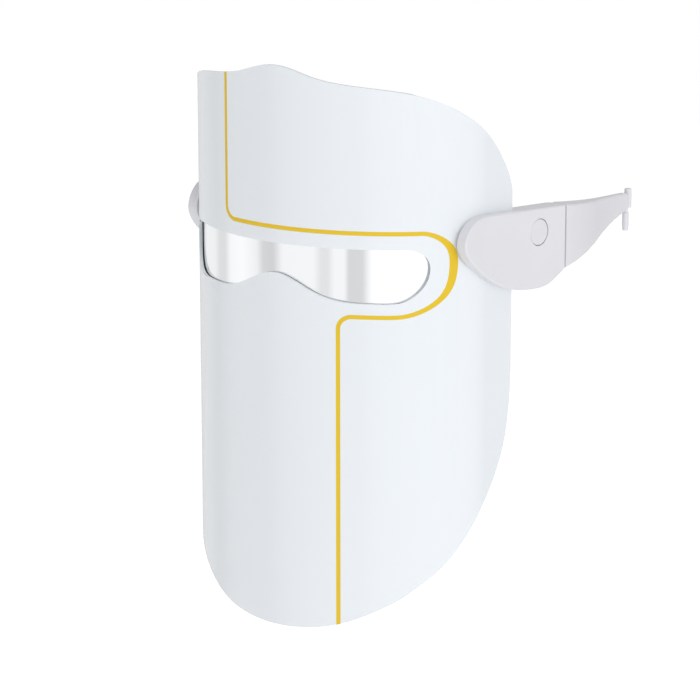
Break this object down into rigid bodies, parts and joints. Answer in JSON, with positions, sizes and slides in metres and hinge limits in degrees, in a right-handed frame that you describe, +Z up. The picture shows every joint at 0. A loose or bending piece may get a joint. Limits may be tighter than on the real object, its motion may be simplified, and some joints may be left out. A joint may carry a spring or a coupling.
{
  "type": "led face mask",
  "caption": "Full-face light therapy mask: curved shell, mirrored eye visor, light panel with lenses behind it, temple housings with power button and folding arms that end in strap pegs.",
  "frame": {"origin": "where the nose pad meets the bridge of the wearer's nose, level with the eyes", "axes": "+Z up, -Y towards the front of the mask, +X towards the wearer's left"},
  "size_m": [0.1634, 0.1617, 0.24],
  "materials": {
    "shell_pearl": "pearl white, satin gloss",
    "accent_gold": "yellow gold, satin",
    "mirror_visor": "mirrored",
    "dark_rubber": "matte",
    "panel_white": "fine matte",
    "soft_silicone": "soft matte",
    "housing_grey": "fine satin",
    "screw_steel": "brushed",
    "flex_amber": "flex circuit",
    "black_plastic": "moulded",
    "board_green": "solder mask",
    "foil_silver": "foil pouch",
    "board_white": "solder mask",
    "led_body": "moulded with phosphor",
    "clear_lens": "clear moulded"
  },
  "bodies": {
    "mask": {"front_shell": "shell_pearl", "accent_stripe": "accent_gold", "visor_gasket": "dark_rubber", "eye_visor": "mirror_visor", "light_panel": "panel_white", "panel_screws": "screw_steel", "left_panel_ribbon": "flex_amber", "right_panel_ribbon": "flex_amber", "left_chin_ribbon": "flex_amber", "right_chin_ribbon": "flex_amber", "left_lead_socket": "black_plastic", "right_lead_socket": "black_plastic", "control_lead": "flex_amber", "battery_lead": "flex_amber", "eye_seal": "soft_silicone", "nose_bracket": "panel_white", "nose_pad": "soft_silicone", "forehead_pad": "soft_silicone", "left_temple_cover": "housing_grey", "right_temple_cover": "housing_grey", "left_temple_base": "housing_grey", "right_temple_base": "housing_grey", "left_housing_screws": "screw_steel", "right_housing_screws": "screw_steel", "tact_switch": "black_plastic", "control_board": "board_green", "control_chips": "black_plastic", "battery_cell": "foil_silver", "charge_board": "board_green", "charge_port": "screw_steel", "port_tongue": "black_plastic", "left_hinge_washers": "screw_steel", "right_hinge_washers": "screw_steel", "forehead_light_board": "board_white", "forehead_led_chips": "led_body", "forehead_led_lenses": "clear_lens", "left_cheek_light_board": "board_white", "left_cheek_led_chips": "led_body", "left_cheek_led_lenses": "clear_lens", "right_cheek_light_board": "board_white", "right_cheek_led_chips": "led_body", "right_cheek_led_lenses": "clear_lens", "chin_light_board": "board_white", "chin_led_chips": "led_body", "chin_led_lenses": "clear_lens"},
    "button": {"power_button": "housing_grey", "switch_plunger": "black_plastic"},
    "left_arm": {"left_temple_arm": "housing_grey", "left_hinge_pin": "screw_steel", "left_strap_hook": "housing_grey"},
    "right_arm": {"right_temple_arm": "housing_grey", "right_hinge_pin": "screw_steel", "right_strap_hook": "housing_grey"}
  },
  "joints": [
    {"name": "left_arm_fold", "type": "hinge", "parent": "mask", "child": "left_arm", "pos_m": [0.07431, 0.063, 0], "axis": [0, 0, 1], "range_deg": [0, 80]},
    {"name": "right_arm_fold", "type": "hinge", "parent": "mask", "child": "right_arm", "pos_m": [-0.07431, 0.063, 0], "axis": [0, 0, -1], "range_deg": [0, 80]},
    {"name": "button_press", "type": "slide", "parent": "mask", "child": "button", "axis": [-0.9925, 0.1219, 0], "range_m": [0, 0.0005], "stiffness_N_per_m": 400}
  ]
}
